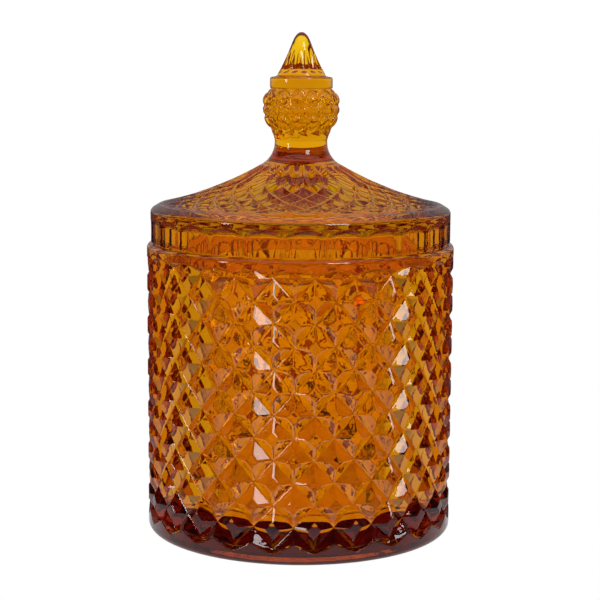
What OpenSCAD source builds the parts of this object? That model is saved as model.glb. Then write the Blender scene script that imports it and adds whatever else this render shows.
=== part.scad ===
// Pressed-glass apothecary jar: a straight jar body with a diamond relief,
// and a lift-off domed lid with its finial moulded in one with it.
// Origin at the centre of the foot, on the surface the jar stands on; +Z is up.

/* [Jar body] */
// Outer radius of the rim band, the heel and the diamond tips
body_r = 45; // [40:0.5:50]
// Height of the body, foot to rim
body_h = 85; // [84:0.5:95]
// Radius of the round bore that is the jar's inside
bore_r = 40; // [36:0.5:41]
// Height of the inside floor above the foot
floor_z = 9; // [7:0.5:12]
// Radius of the rounding between inside wall and floor
floor_fillet = 6; // [2:0.5:10]
// Radius of the rounding at the heel
heel_fillet = 2; // [1:0.25:3]
// Depth of the shallow hollow under the foot
foot_hollow = 0.8; // [0.4:0.1:1.5]
// Inner radius of the ring that the jar stands on
foot_ring_r = 37; // [30:0.5:40]

/* [Diamond relief] */
// Number of diamonds round the body
diamonds = 24; // [20:1:28]
// Number of half diamonds between the lowest and highest groove crossings
half_rows = 11; // [9:2:11]
// Height of one diamond, from groove crossing to groove crossing
diamond_h = 12.6; // [12:0.1:13]
// Depth of the grooves
groove_d = 2.2; // [1:0.1:2.4]
// Size of a diamond's flat top, as a share of the diamond
table_share = 0.36; // [0.2:0.02:0.5]
// Height of the lowest groove crossings above the foot
lowest_node_z = 10.4; // [9:0.1:12]

/* [Lid] */
// Outer radius of the lid's skirt, a little inside the rim
skirt_r = 44.6; // [40:0.1:45]
// Height of the skirt up to its shoulder
skirt_h = 7.4; // [6:0.2:9]
// Height of the dome's lower end above the rim
dome_foot_z = 9.6; // [9:0.2:11]
// Height of the dome's upper end above the rim, where it meets the neck's flare
dome_top_z = 21.5; // [20:0.1:23]
// Radius of the dome's upper end
flare_r = 12; // [11:0.25:14]
// How far the dome hangs below a straight cone halfway down
dome_sag = 1.35; // [0:0.05:2]
// Thickness of the glass in the dome
lid_wall = 5; // [4:0.5:6]
// Outer radius of the ring that drops into the mouth
plug_r = 38.8; // [34:0.1:39.5]
// Depth of that ring below the rim
plug_depth = 6; // [4:0.5:8]
// Thickness of that ring
plug_wall = 4; // [3:0.5:5]
// Number of flutes round the skirt
flutes = 24; // [20:1:28]
// Depth of each flute
flute_d = 0.7; // [0.3:0.1:1]
// Depth of the narrower flutes that run down the dome, one in line with each rib
dome_flute_d = 0.6; // [0.2:0.1:1]

/* [Finial] */
// Radius of the neck at its thinnest
neck_r = 7.65; // [6:0.05:9]
// Radius of the ball over its bosses
ball_r = 11.4; // [10:0.1:13]
// Radius of the collar above the ball
collar_r = 9.2; // [8:0.1:10]
// Radius of the spire where it leaves the collar
spire_r = 6.9; // [5:0.1:8]
// Radius of the spire's rounded tip
tip_r = 1.7; // [1:0.1:2.5]
// Height of the whole jar, foot to tip
total_h = 146; // [140:0.5:150]
// Number of bosses in each of the ball's two rows
bosses = 14; // [12:1:18]
// Number of flutes round the foot of the spire
spire_flutes = 14; // [10:1:18]

/* [Hidden] */

$fn = 96;
arc_steps = 8;          // segments in a quarter-round of a profile
sink = 0.02;            // how far a buried edge lies inside the surface that covers it
lap = 0.3;              // how far the relief runs into the smooth bands
rim_fillet = 1.4;       // rounding of the rim, outside and inside
amber = [0.80, 0.45, 0.05, 0.75];
amber_lid = [0.84, 0.50, 0.08, 0.75];

node_r = body_r - groove_d;             // radius at the groove crossings
sleeve_inner_r = node_r - 1.2;          // the relief's own inner face, buried in the wall
row_h = diamond_h / 2;                  // one row of groove crossings to the next
column_a = 180 / diamonds;              // half a diamond, in degrees round the axis
columns = 2 * diamonds;
highest_node_z = lowest_node_z + half_rows * row_h;
relief_top_z = highest_node_z + groove_d;
relief_bottom_z = lowest_node_z - 1.8 * groove_d;

skirt_top_z = body_h + skirt_h;
dome_low_z = body_h + dome_foot_z;
dome_high_z = body_h + dome_top_z;
shoulder_r = skirt_r - 2.4;             // where the dome meets the rounded shoulder
flare_turn = 58;                        // how far the neck's flare turns outwards, in degrees
flare_bend_r = (flare_r - neck_r) / (1 - cos(flare_turn));
neck_z = dome_high_z + flare_bend_r * sin(flare_turn);  // height of the thinnest place of the neck
ball_z = total_h - 21.9;
collar_low_z = total_h - 16.1;
collar_top_z = total_h - 12.6;
tip_z = total_h - tip_r;
boss_r = 1.9;
boss_rise = 2.6;                        // height of each boss row above or below the ball's middle

// Points of a circular arc about c, from angle a0 to a1.
function arc(c, r, a0, a1, steps = arc_steps) =
    [for (i = [0 : steps]) let (a = a0 + (a1 - a0) * i / steps) [c[0] + r * cos(a), c[1] + r * sin(a)]];

// Point at radius r, angle a and height z.
function polar(r, a, z) = [r * cos(a), r * sin(a), z];

// ---- Diamond relief -------------------------------------------------------------
// Crossings and diamonds share one grid: row i, column j. Where i + j is even there is
// a groove crossing, where it is odd there is a diamond with a flat table.
// Each grid place owns four points: a crossing uses the first, a table all four.
function is_crossing(i, j) = (i + j) % 2 == 0;
function place(i, j, k) = (i * columns + (j + columns) % columns) * 4 + k;
function grid_point(i, j, k) =
    let (a = j * column_a, z = lowest_node_z + i * row_h)
    is_crossing(i, j) ? polar(node_r, a, z) :
    k == 0 ? polar(body_r - sink, a + table_share * column_a, z) :
    k == 1 ? polar(body_r - sink, a, min(z + table_share * row_h, highest_node_z)) :
    k == 2 ? polar(body_r - sink, a - table_share * column_a, z) :
    polar(body_r - sink, a, max(z - table_share * row_h, lowest_node_z));

grid_points = [for (i = [0 : half_rows], j = [0 : columns - 1], k = [0 : 3]) grid_point(i, j, k)];

// The two end rings and the inner wall: two points for each column.
function end_angle(j, k) = (j + (k == 0 ? -table_share : table_share)) * column_a;
function ring(r, z) = [for (j = [0 : columns - 1], k = [0 : 1]) polar(r, end_angle(j, k), z)];
ring_size = 2 * columns;
first_ring = len(grid_points);
function on_ring(n, m) = first_ring + n * ring_size + (m + ring_size) % ring_size;
relief_points = concat(grid_points,
    ring(body_r - sink, relief_bottom_z), ring(body_r - sink, relief_top_z),
    ring(sleeve_inner_r, relief_bottom_z), ring(sleeve_inner_r, relief_top_z));

// One side facet of a diamond, between two of its crossings and two table corners.
function facet(from, to, far, near) = [[from, to, far], [from, far, near]];

function whole_diamond(i, j) = let (
        e = place(i, j + 1, 0), n = place(i + 1, j, 0), w = place(i, j - 1, 0), s = place(i - 1, j, 0),
        te = place(i, j, 0), tn = place(i, j, 1), tw = place(i, j, 2), ts = place(i, j, 3))
    concat([[te, tn, tw], [te, tw, ts]],
        facet(e, n, tn, te), facet(n, w, tw, tn), facet(w, s, ts, tw), facet(s, e, te, ts));

// A half diamond against the smooth band: its table and the grooves beside it run out into ring n.
function half_diamond(i, j, n) = let (
        e = place(i, j + 1, 0), w = place(i, j - 1, 0), te = place(i, j, 0), tw = place(i, j, 2),
        tip = i == 0 ? place(i, j, 1) : place(i, j, 3), deep = place(i + (i == 0 ? 1 : -1), j, 0),
        re = on_ring(n, 2 * j + 1), rw = on_ring(n, 2 * j))
    concat([[te, tip, tw], [tw, rw, re], [tw, re, te]],
        facet(e, deep, tip, te), facet(deep, w, tw, tip),
        [[e, te, re], [e, re, on_ring(n, 2 * j + 2)], [w, rw, tw], [w, on_ring(n, 2 * j - 1), rw]],
        [[e, on_ring(n, 2 * j + 2), on_ring(n, 2 * j + 3)]]);

// Turns faces the other way round.
function turned(faces) = [for (f = faces) [f[2], f[1], f[0]]];

// A band of triangles between ring a and ring b.
function band(a, b) = [for (m = [0 : ring_size - 1])
    each [[on_ring(a, m), on_ring(a, m + 1), on_ring(b, m + 1)], [on_ring(a, m), on_ring(b, m + 1), on_ring(b, m)]]];

relief_faces = concat(
    [for (i = [1 : half_rows - 1], j = [0 : columns - 1]) if (!is_crossing(i, j)) each whole_diamond(i, j)],
    [for (j = [0 : columns - 1]) if (!is_crossing(0, j)) each half_diamond(0, j, 0)],
    [for (j = [0 : columns - 1]) if (!is_crossing(half_rows, j)) each turned(half_diamond(half_rows, j, 1))],
    band(1, 3), band(3, 2), band(2, 0));

module diamond_relief() {
    polyhedron(points = relief_points, faces = turned(relief_faces));
}

// ---- Jar body -------------------------------------------------------------------
// Outline of the body without its relief, foot to rim and back down the bore.
body_outline = concat(
    [[0, foot_hollow], [foot_ring_r - 2 * foot_hollow, foot_hollow], [foot_ring_r, 0]],
    arc([body_r - heel_fillet, heel_fillet], heel_fillet, -90, 0),
    [[body_r, relief_bottom_z + lap], [node_r - 2 * sink, relief_bottom_z + lap],
     [node_r - 2 * sink, relief_top_z - lap], [body_r, relief_top_z - lap]],
    arc([body_r - rim_fillet, body_h - rim_fillet], rim_fillet, 0, 90),
    arc([bore_r + rim_fillet, body_h - rim_fillet], rim_fillet, 90, 180),
    arc([bore_r - floor_fillet, floor_z + floor_fillet], floor_fillet, 0, -90),
    [[0, floor_z]]);

module jar_body() {
    color(amber) union() {
        rotate_extrude() polygon(body_outline);
        diamond_relief();
    }
}

// ---- Lid ------------------------------------------------------------------------
// The dome's outer line: a flare out of the neck, then a slightly hollow fall to the shoulder.
function dome_share(r) = (r - flare_r) / (shoulder_r - flare_r);
function dome_z(r) = let (t = dome_share(r))
    dome_high_z + (dome_low_z - dome_high_z) * t - 4 * dome_sag * t * (1 - t);
flare_line = arc([neck_r + flare_bend_r, neck_z], flare_bend_r, 180, 180 + flare_turn);
fall_line = [for (i = [1 : arc_steps]) let (r = flare_r + (shoulder_r - flare_r) * i / arc_steps) [r, dome_z(r)]];
shoulder_line = arc([skirt_r - 2.2, skirt_top_z - 0.6], 2.2, 62, 0, 5);

// The hollow under the dome follows it, one wall thickness inside.
hollow_r = plug_r - plug_wall;
hollow_steps = 6;
hollow_line = concat(
    [[0, dome_z(flare_r) - lid_wall], [flare_r / 2, dome_z(flare_r) - lid_wall]],
    [for (i = [0 : hollow_steps]) let (r = flare_r + (hollow_r - 3 - flare_r) * i / hollow_steps)
        [r, dome_z(r) - lid_wall - 0.4]],
    [[hollow_r, dome_z(hollow_r) - lid_wall - 2.4]]);

lid_outline = concat(
    [[0, neck_z + 1], [neck_r, neck_z + 1]],
    flare_line, fall_line, shoulder_line,
    arc([skirt_r - 0.8, body_h + 0.8], 0.8, 0, -90, 3),
    [[plug_r, body_h]],
    arc([plug_r - 1, body_h - plug_depth + 1], 1, 0, -90, 3),
    arc([hollow_r + 1, body_h - plug_depth + 1], 1, -90, -180, 3),
    [for (i = [len(hollow_line) - 1 : -1 : 0]) hollow_line[i]]);

// The finial's outline: neck, ball, collar and fluted spire.
ball_core_r = ball_r - 0.5;
finial_outline = concat(
    [[0, neck_z - 2], [neck_r - 0.1, neck_z - 2], [neck_r, neck_z], [collar_r - 1.2, neck_z + 2]],
    arc([ball_core_r - 6.5, ball_z], 6.5, -62, 62, 12),
    [[collar_r - 0.3, collar_low_z], [collar_r, collar_low_z + 0.5], [collar_r, collar_top_z - 0.8],
     [collar_r - 0.8, collar_top_z], [spire_r, collar_top_z]],
    arc([0, tip_z], tip_r, 20, 90, 5));

module flute_cuts() {
    flute_r = 8;
    for (i = [0 : flutes - 1]) rotate((i + 0.5) * 360 / flutes)
        translate([skirt_r - flute_d + flute_r, 0, body_h - 1]) cylinder(r = flute_r, h = skirt_h);
}

// Each dome flute is a long round cut that lies along the fall and runs out at both ends.
module dome_flute_cuts() {
    flute_r = 5;
    in_r = 12.5;
    out_r = 23;
    fall_a = atan((dome_z(in_r) - dome_z(out_r)) / (out_r - in_r));
    for (i = [0 : flutes - 1]) rotate(i * 360 / flutes)
        translate([in_r, 0, dome_z(in_r)]) rotate([0, 90 + fall_a, 0])
            translate([dome_flute_d - flute_r, 0, 0]) scale([1, 0.42, 1])
                cylinder(r = flute_r, h = norm([out_r - in_r, dome_z(in_r) - dome_z(out_r)]));
}

// The spire's flutes are deepest at its foot and run out halfway up.
module spire_flute_cuts() {
    flute_r = 1.2;
    for (i = [0 : spire_flutes - 1]) rotate(i * 360 / spire_flutes)
        translate([spire_r + 0.6, 0, collar_top_z]) rotate([0, -21, 0]) cylinder(r = flute_r, h = 9);
}

module boss_rows() {
    for (row = [-1, 1], i = [0 : bosses - 1]) rotate(i * 360 / bosses)
        translate([ball_core_r - boss_r + 0.1, 0, ball_z + row * boss_rise]) sphere(r = boss_r, $fn = 24);
}

module lid() {
    color(amber_lid) union() {
        difference() {
            rotate_extrude() polygon(lid_outline);
            flute_cuts();
            dome_flute_cuts();
        }
        difference() {
            rotate_extrude() polygon(finial_outline);
            spire_flute_cuts();
        }
        boss_rows();
    }
}

jar_body();
lid();
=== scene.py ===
"""Pressed-glass apothecary jar: a diamond-relief body and a lift-off domed lid in amber glass.

Both pieces are closed skins. Each is a grid: one way runs round the jar's axis in equal steps,
the other way runs along the outline, from the middle of the underside to the last point inside
or on top. Relief is a function of the angle and the height, or of the angle and the radius.
"""

import math

import bpy
import numpy as np
from mathutils import Matrix, Vector


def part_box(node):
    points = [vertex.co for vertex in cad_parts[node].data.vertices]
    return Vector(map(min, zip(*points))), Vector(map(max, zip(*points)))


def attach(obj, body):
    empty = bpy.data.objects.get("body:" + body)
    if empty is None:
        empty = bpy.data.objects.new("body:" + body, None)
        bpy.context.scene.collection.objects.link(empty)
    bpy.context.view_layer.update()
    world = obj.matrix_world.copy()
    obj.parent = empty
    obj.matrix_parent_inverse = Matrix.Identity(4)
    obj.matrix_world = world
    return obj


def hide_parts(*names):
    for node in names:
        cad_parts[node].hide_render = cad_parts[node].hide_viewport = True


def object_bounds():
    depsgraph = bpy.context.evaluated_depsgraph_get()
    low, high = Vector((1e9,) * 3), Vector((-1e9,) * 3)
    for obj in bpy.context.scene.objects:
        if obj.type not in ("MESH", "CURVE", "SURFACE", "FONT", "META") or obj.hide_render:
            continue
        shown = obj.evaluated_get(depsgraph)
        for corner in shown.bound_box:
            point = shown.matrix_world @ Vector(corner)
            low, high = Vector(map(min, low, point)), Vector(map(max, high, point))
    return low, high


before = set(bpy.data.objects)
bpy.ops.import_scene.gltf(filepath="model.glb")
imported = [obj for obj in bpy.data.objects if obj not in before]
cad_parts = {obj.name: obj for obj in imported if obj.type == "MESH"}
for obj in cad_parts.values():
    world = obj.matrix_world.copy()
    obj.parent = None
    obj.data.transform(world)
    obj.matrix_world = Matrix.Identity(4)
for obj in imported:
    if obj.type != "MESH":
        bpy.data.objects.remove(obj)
cad_low, cad_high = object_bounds()
body_low, body_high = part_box("jar_body")
lid_low, lid_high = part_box("lid")

MM = 0.001

# ---- Sizes in millimetres -----------------------------------------------------------
BODY_R = body_high.x / MM               # rim band, heel and diamond tables
BODY_H = body_high.z / MM
TOTAL_H = cad_high.z / MM
BORE_R = 40.0
FLOOR_Z = 9.0
FLOOR_FILLET = 6.0
HEEL_FILLET = 2.0
FOOT_HOLLOW = 0.8
FOOT_RING_R = 37.0
RIM_FILLET = 1.4

DIAMONDS = 24
GROOVE_D = 2.2
TABLE = 1 / 3                           # a table's reach, as a share of half a diamond
ROW_H = 6.3                             # one row of groove crossings to the next
ROWS = 11
LOW_NODE_Z = 10.4                       # lowest row of crossings with whole diamonds round it

PLUG_R = 38.8                           # the ring that hangs in the mouth
PLUG_DEPTH = 6.0
PLUG_WALL = 4.0
SKIRT_R = lid_high.x / MM - 0.7         # inside the CAD's skirt, after the photo's outline
SKIRT_FILLET = 0.8
SHOULDER_R = 1.6
SHOULDER_Z = 93.9                       # where the skirt's upright wall turns into the shoulder
LID_GAP = 0.06                          # the lid's flange stands this far off the rim
LID_TURN = -3.6                         # degrees from the body's crossings round to the lid's ribs

# How far a band's facets keep their own flat normals: 0 is round, 1 and more is cut.
CUT = 2.5
LEDGE_CUT = 0.6
DOME_CUT = 0.15
SPIRE_CUT = 0.1


# ---- Building a skin ----------------------------------------------------------------
def arc(centre, radius, start, end, steps):
    """Points (r, z) on a circle about centre, from angle start to end in degrees, both ends in."""
    a = np.radians(np.linspace(start, end, steps + 1))
    return np.stack([centre[0] + radius * np.cos(a), centre[1] + radius * np.sin(a)], 1)


def smooth_line(points, steps):
    """A smooth curve through the points: cubic pieces whose slope at a point is that of the
    chord between its two neighbours (a Catmull-Rom curve). Each piece gives that many steps."""
    p = np.asarray(points, float)
    p = np.concatenate([[2 * p[0] - p[1]], p, [2 * p[-1] - p[-2]]])
    t = (np.arange(steps) / steps)[None, :, None]
    a, b, c, d = (p[i : len(p) - 3 + i, None, :] for i in range(4))
    q = 0.5 * (2 * b + (c - a) * t + (2 * a - 5 * b + 4 * c - d) * t**2
               + (3 * b - a - 3 * c + d) * t**3)
    return np.concatenate([q.reshape(-1, 2), p[-2:-1]])


def rings(line, columns):
    """A plain turned band: each point of the outline becomes one ring of its radius and height."""
    line = np.asarray(line, float)
    return np.repeat(line[:, None, :], columns, 1)


def skin(name, bands, angles, first_z, last_z):
    """Joins bands of rings to one closed mesh, with a pole at each end.

    bands is a list of (rings, crisp, slants). rings is rows x columns x (r, z). crisp says how far
    the facets keep their own flat normals. slants is rows x columns, true where a square of the
    grid is split from its lower left to its upper right corner.
    """
    grid = np.concatenate([b[0] for b in bands])
    crisp = np.concatenate([np.full(len(b[0]), float(b[1])) for b in bands])
    slants = np.concatenate(
        [b[2] if b[2] is not None else np.ones(b[0].shape[:2], bool) for b in bands])
    rows, columns = grid.shape[:2]
    x = grid[..., 0] * np.cos(angles)
    y = grid[..., 0] * np.sin(angles)
    points = np.stack([x, y, grid[..., 1]], -1).reshape(-1, 3)
    points = np.concatenate([points, [[0, 0, first_z], [0, 0, last_z]]]) * MM

    row, column = np.meshgrid(np.arange(rows - 1), np.arange(columns), indexing="ij")
    after = (column + 1) % columns
    ll, lr = row * columns + column, row * columns + after
    ul, ur = ll + columns, lr + columns
    rising = slants[:-1]
    one = np.where(rising[..., None], np.stack([ll, lr, ur], -1), np.stack([ll, lr, ul], -1))
    two = np.where(rising[..., None], np.stack([ll, ur, ul], -1), np.stack([lr, ur, ul], -1))
    ring = np.arange(columns)
    first = np.stack([np.full(columns, rows * columns), (ring + 1) % columns, ring], -1)
    top = (rows - 1) * columns
    last = np.stack(
        [np.full(columns, rows * columns + 1), top + ring, top + (ring + 1) % columns], -1)
    faces = np.concatenate([one.reshape(-1, 3), two.reshape(-1, 3), first, last])
    side_crisp = crisp[:-1].repeat(columns)
    face_crisp = np.concatenate([side_crisp, side_crisp, np.zeros(2 * columns)])

    mesh = bpy.data.meshes.new(name)
    mesh.vertices.add(len(points))
    mesh.vertices.foreach_set("co", points.astype(np.float32).ravel())
    mesh.loops.add(faces.size)
    mesh.loops.foreach_set("vertex_index", faces.astype(np.int32).ravel())
    mesh.polygons.add(len(faces))
    mesh.polygons.foreach_set("loop_start", np.arange(0, faces.size, 3, dtype=np.int32))
    mesh.update(calc_edges=True)
    mesh.validate()
    mesh.polygons.foreach_set("use_smooth", np.ones(len(faces), bool))

    # Normals: a corner takes the mean of the facets round its point, plus its own facet's share.
    p = points[faces]
    cross = np.cross(p[:, 1] - p[:, 0], p[:, 2] - p[:, 0])
    mean = np.zeros_like(points)
    for k in range(3):
        np.add.at(mean, faces[:, k], cross)
    mean /= np.maximum(np.linalg.norm(mean, axis=1, keepdims=True), 1e-20)
    flat = cross / np.maximum(np.linalg.norm(cross, axis=1, keepdims=True), 1e-20)
    corner = mean[faces] + face_crisp[:, None, None] * flat[:, None, :]
    corner /= np.maximum(np.linalg.norm(corner, axis=2, keepdims=True), 1e-20)
    mesh.normals_split_custom_set(corner.reshape(-1, 3).astype(np.float32))

    piece = bpy.data.objects.new(name, mesh)
    bpy.context.scene.collection.objects.link(piece)
    return piece


# ---- Jar body -----------------------------------------------------------------------
STEPS = 9                               # grid steps in half a diamond
COLUMNS = 2 * DIAMONDS * STEPS


def off_even(x):
    """Distance of each value from the nearest even number: 0 to 1."""
    return 1 - np.abs(x % 2 - 1)


def diamond_height(a, b):
    """Height of the diamond relief, 0 in a groove and 1 on a table. The grooves are the lines
    where a + b or a - b is even; the height grows with the distance from the nearer one."""
    return np.clip(np.minimum(off_even(a + b), off_even(a - b)) / (1 - TABLE), 0, 1)


def relief_rows(a, b):
    """Rings of the relief at grid places a (round) and b (up), both in half diamonds."""
    r = BODY_R - GROOVE_D * (1 - diamond_height(a, b))
    return np.stack([r, LOW_NODE_Z + ROW_H * b + 0 * r], -1)


def body_skin():
    """The body from the middle of its foot, up the outside, over the rim and down the bore.

    The whole diamonds are a plain grid. Under the lowest crossings the relief is squeezed up to a
    scalloped line, above the highest ones it stops at a line of low arches, and at both lines a short
    wall leads out to a smooth band."""
    a = np.arange(COLUMNS) / STEPS
    angles = np.radians(a * 180 / DIAMONDS)
    cell = np.floor(a).astype(int)

    # Between the foot and the scallops.
    from_crossing = off_even(a)                 # 0 under a crossing, 1 under a diamond
    scallop = 1 - 0.38 * (1 - from_crossing) ** 1.43
    down = (np.arange(STEPS, 0, -1) / STEPS)[:, None]
    share = (down - from_crossing) / np.maximum(1 - from_crossing, 1e-9)
    squeezed = from_crossing + share * (scallop - from_crossing)
    down = np.where(down > from_crossing, squeezed, down)
    low = relief_rows(a[None, :], -down)
    low_slants = np.repeat(((cell - 1) % 2 == 0)[None, :], STEPS, 0)
    edge = low[0]
    wall = 0.05 + 0.17 * (BODY_R - edge[:, 0])
    ledge = np.stack([
        np.stack([np.full(COLUMNS, BODY_R), edge[:, 1] - wall - 0.28], -1),
        np.stack([np.maximum(edge[:, 0], BODY_R - 0.1), edge[:, 1] - wall], -1)])

    up = np.arange(ROWS * STEPS) / STEPS
    whole = relief_rows(a[None, :], up[:, None])
    whole_slants = (cell[None, :] + np.floor(up)[:, None].astype(int)) % 2 == 0

    # Above the highest crossings.
    from_diamond = off_even(a)      # the top row's diamonds stand over the lowest crossings
    arch = 0.349 - 0.222 * from_diamond**2
    above = (np.arange(0, 4) / 3)[:, None] * arch[None, :]
    high = relief_rows(a[None, :], ROWS + above)
    high_slants = np.repeat(((cell + ROWS) % 2 == 0)[None, :], 4, 0)
    edge = high[-1]
    wall = 0.05 + 0.17 * (BODY_R - edge[:, 0])
    brow = np.stack([
        np.stack([np.maximum(edge[:, 0], BODY_R - 0.1), edge[:, 1] + wall], -1),
        np.stack([np.full(COLUMNS, BODY_R), edge[:, 1] + wall + 0.28], -1)])

    foot = np.concatenate([
        [[12, FOOT_HOLLOW], [28, FOOT_HOLLOW],
         [FOOT_RING_R - 2.2, FOOT_HOLLOW], [FOOT_RING_R - 1.7, FOOT_HOLLOW * 0.92],
         [FOOT_RING_R - 0.4, 0.1], [FOOT_RING_R, 0], [FOOT_RING_R + 2, 0]],
        arc((BODY_R - HEEL_FILLET, HEEL_FILLET), HEEL_FILLET, -90, 0, 8),
        [[BODY_R, HEEL_FILLET + 0.6]]])
    rim = np.concatenate([
        [[BODY_R, BODY_H - RIM_FILLET - 0.5]],
        arc((BODY_R - RIM_FILLET, BODY_H - RIM_FILLET), RIM_FILLET, 0, 90, 7),
        arc((BORE_R + RIM_FILLET, BODY_H - RIM_FILLET), RIM_FILLET, 90, 180, 7),
        [[BORE_R, 76], [BORE_R, 60], [BORE_R, 40], [BORE_R, 24]],
        arc((BORE_R - FLOOR_FILLET, FLOOR_Z + FLOOR_FILLET), FLOOR_FILLET, 0, -90, 10),
        [[25, FLOOR_Z - 0.05], [12, FLOOR_Z - 0.1]]])
    bands = [
        (rings(foot, COLUMNS), 0, None),
        (ledge, LEDGE_CUT, None),
        (low, CUT, low_slants),
        (whole, CUT, whole_slants),
        (high, CUT, high_slants),
        (brow, LEDGE_CUT, None),
        (rings(rim, COLUMNS), 0, None)]
    return skin("jar_body_glass", bands, angles - math.pi / 2, FOOT_HOLLOW, FLOOR_Z - 0.1)


# ---- Lid ----------------------------------------------------------------------------
LID_STEPS = 8
LID_COLUMNS = 2 * DIAMONDS * LID_STEPS
LID_WALL = 5.0
DOME_TOP = (12.0, 107.6)                # (r, z) where the neck's flare meets the dome
DOME_FOOT = (42.2, 96.1)                # (r, z) that the dome's line is drawn down to
DOME_EDGE_R = 41.5                      # where its relief has run out and the shoulder begins
DOME_SAG = 1.35
DOME_RELIEF = 1.9                       # depth of the lozenges and the long flutes
NET_R = 21.1                            # radius where the long flutes end and the net begins
NET_ROW = 3.4                           # half a lozenge, measured along the radius
HEAD_R = 11.4                           # radius of the arched heads' tops
PANEL_D = 0.75                          # depth of the skirt's panels
PANEL_HEAD_Z = 92.6                     # top of the panels' arched heads
NECK_R = 7.65
NECK_Z = 114.35
# The arc that turns from the neck, which is upright, and ends just at the dome's top.
FLARE_TURN = 2 * math.degrees(math.atan2(DOME_TOP[0] - NECK_R, NECK_Z - DOME_TOP[1]))
BALL_Z = 123.6                          # halfway between the two rows of bosses
BALL_R = 11.0
BOSSES = 14
BOSS_R = 1.75
BOSS_ROW = 3.35                         # each row of bosses stands this far from halfway
ZIGZAG_Z = 117.4
SPIRE_FLUTES = 14
SPIRE_FLUTE_D = 0.75
SPIRE_FLUTE_Z = (134.4, 141.5)          # foot and upper end of the spire's flutes


def dome_z(r):
    """Height of the plain dome at radius r: a straight fall that hangs a little, most halfway."""
    t = (r - DOME_TOP[0]) / (DOME_FOOT[0] - DOME_TOP[0])
    return DOME_TOP[1] + (DOME_FOOT[1] - DOME_TOP[1]) * t - 4 * DOME_SAG * t * (1 - t)


def dish(h):
    """A round hollow between two edges: 0 on the edge, steep beside it, flat in the middle at 1."""
    return 1 - (1 - np.clip(h, 0, 1)) ** 2


def dome_hollow(a, r):
    """Depth of the dome's relief in millimetres at grid place a (half pitches round) and radius r.

    A net of ridges, the lines where a + b or a - b is odd, holds hollow lozenges that fade towards
    the shoulder. Inside its first row b stays 0, so the ridges run straight up, and the hollows
    between them are long flutes with arched heads. The depth grows with the distance from the
    nearest ridge: partly evenly, and partly as a round dish."""
    b = np.maximum((r - NET_R) / NET_ROW, 0)
    edge = np.minimum(off_even(a + b + 1), off_even(a - b + 1))
    arch_r = HEAD_R + 1.3 * (1 - off_even(a + 1)) ** 2
    head = np.sqrt(np.clip((r - arch_r) / 1.6, 0, 1))
    fade = np.interp(r, [14, 18, 33, 37, DOME_EDGE_R], [0.6, 1, 0.9, 0.6, 0])
    return DOME_RELIEF * (0.4 * edge + 0.6 * dish(edge)) * head * fade


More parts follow.
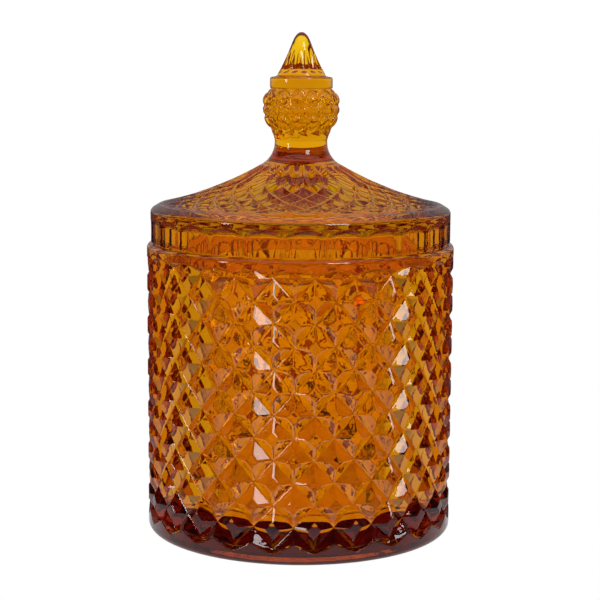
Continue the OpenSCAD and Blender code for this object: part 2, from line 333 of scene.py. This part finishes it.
def lid_skin():
    """The lid from the middle of its hollow, out over the plug ring and the flange, up the panelled
    skirt, over the dome, and up the finial to its tip."""
    a = np.arange(LID_COLUMNS) / LID_STEPS      # even on the skirt's ribs, odd amid its panels
    angles = np.radians(a * 180 / DIAMONDS)
    hollow_r = PLUG_R - PLUG_WALL
    hollow_z = dome_z(DOME_TOP[0]) - LID_WALL
    low_z = BODY_H - PLUG_DEPTH
    flange_z = BODY_H + LID_GAP

    r = np.linspace(DOME_TOP[0], hollow_r - 3.5, 7)
    hollow = np.concatenate([
        [[4, hollow_z], [8, hollow_z - 0.15]],
        np.stack([r, dome_z(r) - LID_WALL - 0.4], 1),
        arc((hollow_r - 2.6, dome_z(hollow_r) - LID_WALL - 3.0), 2.6, 60, 0, 5),
        [[hollow_r, low_z + 3]],
        arc((hollow_r + 1, low_z + 1), 1, 180, 270, 4),
        arc((PLUG_R - 1, low_z + 1), 1, -90, 0, 4),
        [[PLUG_R, BODY_H - 1], [PLUG_R, flange_z - 0.2], [PLUG_R + 0.2, flange_z],
         [PLUG_R + 0.9, flange_z], [SKIRT_R - 2.4, flange_z]]])

    # The skirt: shallow panels with arched heads between narrow ribs, and a smooth round shoulder.
    across = 1 - off_even(a)                    # 1 on a rib, 0 in the middle of a panel
    z = np.linspace(88, SHOULDER_Z - 0.3, 14)
    skirt = rings(np.concatenate([
        arc((SKIRT_R - SKIRT_FILLET, flange_z + SKIRT_FILLET), SKIRT_FILLET, -90, 0, 4),
        np.stack([0 * z + SKIRT_R, z], 1),
        arc((SKIRT_R - SHOULDER_R, SHOULDER_Z), SHOULDER_R, 0, 62, 9)]), LID_COLUMNS)
    head = np.clip((PANEL_HEAD_Z - 1.5 * across[None, :] ** 2 - skirt[..., 1]) / 0.8, 0, 1)
    panel = PANEL_D * (1 - across[None, :] ** 4) * dish(head)
    skirt[..., 0] = np.minimum(skirt[..., 0], SKIRT_R - panel)

    # The dome, from the shoulder in to the neck's flare.
    # Its rows are an eighth of a net row apart, so that the ridges lie along the grid's diagonals.
    r = np.concatenate([np.linspace(DOME_EDGE_R, 14.3, 65), np.linspace(14.3, DOME_TOP[0], 5)[1:]])
    dome = rings(np.stack([r, dome_z(r)], 1), LID_COLUMNS)
    dome[..., 1] -= dome_hollow(a[None, :], r[:, None])
    square_r = r - 0.2                          # amid the squares that start in this row
    row = np.floor(np.maximum((square_r - NET_R) / NET_ROW, 0)).astype(int)
    dome_slants = (row[:, None] + np.floor(a)[None, :].astype(int)) % 2 == 0

    # The neck and the finial.
    bend_r = (DOME_TOP[0] - NECK_R) / (1 - math.cos(math.radians(FLARE_TURN)))
    flare = arc((NECK_R + bend_r, NECK_Z), bend_r, 180 + FLARE_TURN, 180, 12)[1:]
    turned = smooth_line([
        [7.65, 114.9], [7.95, 116.0], [8.35, 117.2], [8.95, 118.4], [9.75, 119.7], [10.4, 121.2],
        [10.8, 122.8], [10.9, 124.1], [10.9, 125.4], [10.75, 126.8], [10.25, 128.1], [9.45, 129.2],
        [8.95, 129.7]], 4)
    collar = np.concatenate([
        arc((8.8, 130.25), 0.35, -90, 0, 3), [[9.15, 131.5]], arc((8.5, 132.5), 0.65, 0, 80, 4),
        [[7.9, 133.25], [7.3, 133.4]]])
    spire = smooth_line([
        [7.0, 133.6], [6.85, 134.1], [6.25, 135.2], [5.65, 136.4], [5.05, 137.6], [4.5, 138.8],
        [3.95, 140.0], [3.45, 141.2], [2.95, 142.4], [2.5, 143.5], [1.95, 144.6], [1.2, 145.5],
        [0.5, TOTAL_H - 0.08]], 3)
    finial = rings(np.concatenate([flare, turned, collar]), LID_COLUMNS)
    finial[: len(flare), :, 1] -= dome_hollow(a[None, :], finial[: len(flare), :, 0])
    finial[..., 0] += ball_relief(angles[None, :], finial[..., 1])
    tip = rings(spire, LID_COLUMNS)
    tip[..., 0] -= spire_flutes(angles[None, :], tip[..., 1])

    bands = [
        (rings(hollow, LID_COLUMNS), 0, None),
        (skirt, 0, None),
        (dome, DOME_CUT, dome_slants),
        (finial, 0, None),
        (tip, SPIRE_CUT, None)]
    turn = math.radians(LID_TURN) - math.pi / 2
    return skin("lid_glass", bands, angles + turn, hollow_z, TOTAL_H)


def ball_relief(angle, z):
    """Relief of the finial's ball in millimetres: two rows of round bosses, each with a fine groove
    round it, crossed ribs between the rows, and small facets where the ball meets the neck."""
    a = angle * BOSSES / (2 * math.pi)
    up = z - BALL_Z
    across = (a + 0.5) % 1 - 0.5
    from_boss = np.hypot(across * 2 * math.pi * BALL_R / BOSSES, np.abs(up) - BOSS_ROW)
    boss = 0.45 * np.sqrt(np.clip(1 - (from_boss / BOSS_R) ** 2, 0, 1))
    groove = -0.6 * np.exp(-((from_boss - BOSS_R - 0.35) / 0.4) ** 2)
    ribs = off_even(2 * a + up / 1.7 + 1) * off_even(2 * a - up / 1.7 + 1)
    cross = 0.3 * np.clip(1 - ribs * 4, 0, 1) * np.clip(1.5 - np.abs(up), 0, 1)
    zigzag = off_even(2 * a + (z - ZIGZAG_Z + 0.2) / 1.3) - 0.5
    low = 0.35 * zigzag * np.clip(1 - np.abs(z - ZIGZAG_Z) / 1.5, 0, 1)
    return boss + groove + cross + low


def spire_flutes(angle, z):
    """Depth of the spire's flutes in millimetres: each is a hollow with an arched foot, deepest a
    little above that foot, and runs out upwards."""
    across = np.abs((angle * SPIRE_FLUTES / (2 * math.pi)) % 1 - 0.5) * 2
    foot_z = SPIRE_FLUTE_Z[0] + 0.7 * across**2
    depth = np.clip((z - foot_z) / 0.5, 0, 1) * np.clip((SPIRE_FLUTE_Z[1] - z) / 6.5, 0, 1)
    return SPIRE_FLUTE_D * depth * (1 - across**2)


body = body_skin()
lid = lid_skin()
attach(body, "jar")
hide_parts("jar_body")
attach(lid, "lid")
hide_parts("lid")


# ---- Materials ----------------------------------------------------------------------
def group(name, inputs, outputs):
    """An empty shader node group with named sockets; returns the tree and its two end nodes."""
    tree = bpy.data.node_groups.new(name, "ShaderNodeTree")
    for label, kind, value in inputs:
        socket = tree.interface.new_socket(label, in_out="INPUT", socket_type=kind)
        socket.default_value = value
    for label, kind in outputs:
        tree.interface.new_socket(label, in_out="OUTPUT", socket_type=kind)
    return tree, tree.nodes.new("NodeGroupInput"), tree.nodes.new("NodeGroupOutput")


def fire_polish_group():
    """Fire-polished pressed glass: a slow swell and a finer ripple left by the mould as one height,
    a streak mask of slightly unlike melt, and a roughness that is a touch higher in patches."""
    tree, give, take = group(
        "fire_polish",
        [("Swell Scale", "NodeSocketFloat", 60.0), ("Ripple Scale", "NodeSocketFloat", 420.0),
         ("Ripple Share", "NodeSocketFloat", 0.25), ("Roughness Low", "NodeSocketFloat", 0.01),
         ("Roughness High", "NodeSocketFloat", 0.05)],
        [("Height", "NodeSocketFloat"), ("Streaks", "NodeSocketFloat"),
         ("Roughness", "NodeSocketFloat")])
    nodes, links = tree.nodes, tree.links
    place = nodes.new("ShaderNodeTexCoord")
    swell = nodes.new("ShaderNodeTexNoise")
    swell.inputs["Detail"].default_value = 1.0
    ripple = nodes.new("ShaderNodeTexNoise")
    ripple.inputs["Detail"].default_value = 2.0
    blend = nodes.new("ShaderNodeMix")
    links.new(place.outputs["Object"], swell.inputs["Vector"])
    links.new(place.outputs["Object"], ripple.inputs["Vector"])
    links.new(give.outputs["Swell Scale"], swell.inputs["Scale"])
    links.new(give.outputs["Ripple Scale"], ripple.inputs["Scale"])
    links.new(give.outputs["Ripple Share"], blend.inputs["Factor"])
    links.new(swell.outputs["Fac"], blend.inputs["A"])
    links.new(ripple.outputs["Fac"], blend.inputs["B"])
    links.new(blend.outputs["Result"], take.inputs["Height"])

    stretch = nodes.new("ShaderNodeMapping")
    stretch.inputs["Scale"].default_value = (1.0, 1.0, 0.3)
    streak = nodes.new("ShaderNodeTexNoise")
    streak.inputs["Scale"].default_value = 45.0
    streak.inputs["Detail"].default_value = 3.0
    links.new(place.outputs["Object"], stretch.inputs["Vector"])
    links.new(stretch.outputs["Vector"], streak.inputs["Vector"])
    links.new(streak.outputs["Fac"], take.inputs["Streaks"])

    handled = nodes.new("ShaderNodeTexNoise")
    handled.inputs["Scale"].default_value = 90.0
    handled.inputs["Detail"].default_value = 4.0
    spread = nodes.new("ShaderNodeMapRange")
    spread.inputs["From Min"].default_value = 0.45
    spread.inputs["From Max"].default_value = 0.75
    links.new(place.outputs["Object"], handled.inputs["Vector"])
    links.new(handled.outputs["Fac"], spread.inputs["Value"])
    links.new(give.outputs["Roughness Low"], spread.inputs["To Min"])
    links.new(give.outputs["Roughness High"], spread.inputs["To Max"])
    links.new(spread.outputs["Result"], take.inputs["Roughness"])
    return tree


FIRE_POLISH = fire_polish_group()
GLASS_IOR = 1.52
MELT_DENSITY = 150.0                    # per metre, for a colour that the melt takes out altogether
RIPPLE_D = 0.0006                       # metres


def amber_glass(name, pale, deep, melt_colour, swell, bump):
    """Clear amber glass. Its surface tints the light between pale and deep, by streaks of the melt.
    The melt's own colour then deepens along the light's way through it, towards red-brown."""
    material = bpy.data.materials.new(name)
    material.use_nodes = True
    nodes, links = material.node_tree.nodes, material.node_tree.links
    shader = nodes["Principled BSDF"]
    out = nodes["Material Output"]
    polish = nodes.new("ShaderNodeGroup")
    polish.node_tree = FIRE_POLISH
    polish.inputs["Swell Scale"].default_value = swell
    tint = nodes.new("ShaderNodeMix")
    tint.data_type = "RGBA"
    tint.inputs["A"].default_value = (*pale, 1)
    tint.inputs["B"].default_value = (*deep, 1)
    raised = nodes.new("ShaderNodeBump")
    raised.inputs["Strength"].default_value = bump
    raised.inputs["Distance"].default_value = RIPPLE_D
    links.new(polish.outputs["Streaks"], tint.inputs["Factor"])
    links.new(tint.outputs["Result"], shader.inputs["Base Color"])
    links.new(polish.outputs["Roughness"], shader.inputs["Roughness"])
    links.new(polish.outputs["Height"], raised.inputs["Height"])
    links.new(raised.outputs["Normal"], shader.inputs["Normal"])
    shader.inputs["Transmission Weight"].default_value = 1.0
    shader.inputs["IOR"].default_value = GLASS_IOR
    melt = nodes.new("ShaderNodeVolumeAbsorption")
    melt.inputs["Color"].default_value = (*melt_colour, 1)
    melt.inputs["Density"].default_value = MELT_DENSITY
    links.new(melt.outputs["Volume"], out.inputs["Volume"])
    return material


body.data.materials.append(amber_glass(
    "amber_body_glass", pale=(0.88, 0.59, 0.015), deep=(0.85, 0.53, 0.008),
    melt_colour=(0.80, 0.46, 0.0), swell=60.0, bump=0.3))
lid.data.materials.append(amber_glass(
    "amber_lid_glass", pale=(0.96, 0.75, 0.02), deep=(0.93, 0.68, 0.01),
    melt_colour=(0.85, 0.61, 0.0), swell=80.0, bump=0.1))


# ---- Table, studio and camera -------------------------------------------------------
def mirror_only(nodes, links, path):
    """The share of light that was mirrored and has not gone through the glass."""
    bounced = nodes.new("ShaderNodeMath")
    bounced.operation = "SUBTRACT"
    bounced.use_clamp = True
    links.new(path.outputs["Is Glossy Ray"], bounced.inputs[0])
    links.new(path.outputs["Is Transmission Ray"], bounced.inputs[1])
    return bounced.outputs["Value"]


def step(nodes, links, source, start, end, low, high):
    """A smooth step of a value from low to high between start and end."""
    node = nodes.new("ShaderNodeMapRange")
    node.interpolation_type = "SMOOTHSTEP"
    for label, value in (("From Min", start), ("From Max", end), ("To Min", low), ("To Max", high)):
        node.inputs[label].default_value = value
    links.new(source, node.inputs["Value"])
    return node.outputs["Result"]


def joined(nodes, links, operation, one, two):
    """One arithmetic step; each of the two sides is a plain number or another node's output."""
    node = nodes.new("ShaderNodeMath")
    node.operation = operation
    for socket, value in zip(node.inputs, (one, two)):
        if isinstance(value, float):
            socket.default_value = value
        else:
            links.new(value, socket)
    return node.outputs["Value"]


def lit_table():
    """A wide, flat white table that glows, as if lit from below, so that it shows no shadow to the
    camera.
    Through the glass it glows a little less under the jar's foot and on both sides: painted shade.
    Mirrored in the glass it glows near the jar only: a painted pool of light."""
    reach, sunk = 3.0, 0.0003
    mesh = bpy.data.meshes.new("table_top")
    mesh.from_pydata([(-reach, -reach, -sunk), (reach, -reach, -sunk), (reach, reach, -sunk),
                      (-reach, reach, -sunk)], [], [(0, 1, 2, 3)])
    piece = bpy.data.objects.new("table_top", mesh)
    bpy.context.scene.collection.objects.link(piece)
    material = bpy.data.materials.new("lit_white_table")
    material.use_nodes = True
    nodes, links = material.node_tree.nodes, material.node_tree.links
    nodes.remove(nodes["Principled BSDF"])
    plain = nodes.new("ShaderNodeEmission")     # as the camera sees it
    dim = nodes.new("ShaderNodeEmission")       # as the glass mirrors it
    lit = nodes.new("ShaderNodeEmission")       # as it shines through the glass
    place = nodes.new("ShaderNodeTexCoord")
    away = nodes.new("ShaderNodeVectorMath")
    away.operation = "LENGTH"
    parts = nodes.new("ShaderNodeSeparateXYZ")
    links.new(place.outputs["Object"], away.inputs[0])
    links.new(place.outputs["Object"], parts.inputs["Vector"])
    # painted shade: seen through the glass, the table glows a little less under the jar's foot
    painted_shade_under_jar = step(nodes, links, away.outputs["Value"], 0.046, 0.060, 1.1, 1.15)
    ahead = joined(nodes, links, "ABSOLUTE",
                   joined(nodes, links, "DIVIDE", parts.outputs["Y"], away.outputs["Value"]), 0.0)
    # painted shade: seen through the glass, the table glows dimmer towards both sides
    sides = step(nodes, links, ahead, 0.2, 0.7, 0.75, 1.0)
    links.new(joined(nodes, links, "MULTIPLY", painted_shade_under_jar, sides), lit.inputs["Strength"])
    # painted pool of light: mirrored in the glass, the table glows near the jar and fades further off
    painted_glow_near_jar = step(nodes, links, away.outputs["Value"], 0.070, 0.110, 0.7, 0.05)
    links.new(painted_glow_near_jar, dim.inputs["Strength"])
    path = nodes.new("ShaderNodeLightPath")
    mirrored = nodes.new("ShaderNodeMixShader")
    pick = nodes.new("ShaderNodeMixShader")
    links.new(mirror_only(nodes, links, path), mirrored.inputs["Fac"])
    links.new(lit.outputs["Emission"], mirrored.inputs[1])
    links.new(dim.outputs["Emission"], mirrored.inputs[2])
    links.new(path.outputs["Is Camera Ray"], pick.inputs["Fac"])
    links.new(mirrored.outputs["Shader"], pick.inputs[1])
    links.new(plain.outputs["Emission"], pick.inputs[2])
    links.new(pick.outputs["Shader"], nodes["Material Output"].inputs["Surface"])
    mesh.materials.append(material)
    return piece


lit_table()


def softbox(name, place, aim, size, watts):
    """A rectangular area light at a place, turned to the aim point."""
    data = bpy.data.lights.new(name, "AREA")
    data.shape = "RECTANGLE"
    data.size, data.size_y = size
    data.energy = watts
    lamp = bpy.data.objects.new(name, data)
    lamp.location = place
    lamp.rotation_euler = (Vector(aim) - Vector(place)).to_track_quat("-Z", "Y").to_euler()
    lamp.visible_camera = False
    bpy.context.scene.collection.objects.link(lamp)


MIDDLE = Vector((0, 0, 0.07))
LAMP_AWAY = 1.2


def from_middle(turn, rise, distance):
    """A place that far from the jar's middle, turned that many degrees to the camera's right
    from the front, and raised that many degrees."""
    t, e = math.radians(turn - 90), math.radians(rise)
    way = Vector((math.cos(e) * math.cos(t), math.cos(e) * math.sin(t), math.sin(e)))
    return MIDDLE + distance * way


softbox("softbox_right", from_middle(33, 37, LAMP_AWAY), MIDDLE, (0.30, 0.42), 3.0)
softbox("softbox_left", from_middle(-55, 12, LAMP_AWAY), MIDDLE, (0.16, 0.40), 1.6)


def studio():
    """A white studio. Light through the glass comes from a white surround, dimmer on both sides and
    above. What the glass mirrors is the room: dark, with a pale backdrop and a white ceiling.
    The steps run over the y and z of the sight line's direction."""
    world = bpy.data.worlds.new("studio")
    bpy.context.scene.world = world
    world.use_nodes = True
    nodes, links = world.node_tree.nodes, world.node_tree.links

    place = nodes.new("ShaderNodeTexCoord")
    parts = nodes.new("ShaderNodeSeparateXYZ")
    links.new(place.outputs["Generated"], parts.inputs["Vector"])
    backdrop = step(nodes, links, parts.outputs["Y"], 0.25, 0.6, 0.03, 0.4)
    ceiling = step(nodes, links, parts.outputs["Z"], 0.62, 0.80, 0.03, 0.65)
    room = nodes.new("ShaderNodeBackground")
    links.new(joined(nodes, links, "MAXIMUM", backdrop, ceiling), room.inputs["Strength"])

    aside = joined(nodes, links, "ABSOLUTE", parts.outputs["Y"], 0.0)
    round_about = step(nodes, links, aside, 0.15, 0.60, 0.5, 1.25)
    above = step(nodes, links, parts.outputs["Z"], 0.35, 0.50, 1.0, 0.7)
    surround = nodes.new("ShaderNodeBackground")
    links.new(joined(nodes, links, "MULTIPLY", round_about, above), surround.inputs["Strength"])
    white = nodes["Background"]
    white.inputs["Color"].default_value = (1, 1, 1, 1)
    white.inputs["Strength"].default_value = 1.05

    path = nodes.new("ShaderNodeLightPath")
    mirrored = nodes.new("ShaderNodeMixShader")
    links.new(mirror_only(nodes, links, path), mirrored.inputs["Fac"])
    links.new(surround.outputs["Background"], mirrored.inputs[1])
    links.new(room.outputs["Background"], mirrored.inputs[2])
    seen = nodes.new("ShaderNodeMixShader")
    links.new(path.outputs["Is Camera Ray"], seen.inputs["Fac"])
    links.new(mirrored.outputs["Shader"], seen.inputs[1])
    links.new(white.outputs["Background"], seen.inputs[2])
    links.new(seen.outputs["Shader"], nodes["World Output"].inputs["Surface"])


studio()

scene = bpy.context.scene
scene.view_settings.view_transform = "Standard"
scene.cycles.max_bounces = 24
scene.cycles.transmission_bounces = 24
scene.cycles.glossy_bounces = 12
scene.cycles.caustics_refractive = False
scene.cycles.caustics_reflective = False

CAMERA_TURN = math.radians(1.93)        # the camera stands this far round from the front crossings
CAMERA_AWAY = 0.4865
CAMERA_UP = 0.1395
CAMERA_PITCH = math.radians(8.52)
CAMERA_ROLL = math.radians(0.35)
CAMERA_LENS = 99.7
CAMERA_RISE = 0.006                     # a small lens shift, for the framing
camera_data = bpy.data.cameras.new("camera")
camera_data.lens = CAMERA_LENS
camera_data.sensor_width = 36.0
camera_data.shift_y = CAMERA_RISE
camera = bpy.data.objects.new("camera", camera_data)
scene.collection.objects.link(camera)
camera.matrix_world = (
    Matrix.Rotation(CAMERA_TURN, 4, "Z")
    @ Matrix.Translation((0, -CAMERA_AWAY, CAMERA_UP))
    @ Matrix.Rotation(math.pi / 2 - CAMERA_PITCH, 4, "X")
    @ Matrix.Rotation(CAMERA_ROLL, 4, "Z"))
scene.camera = camera
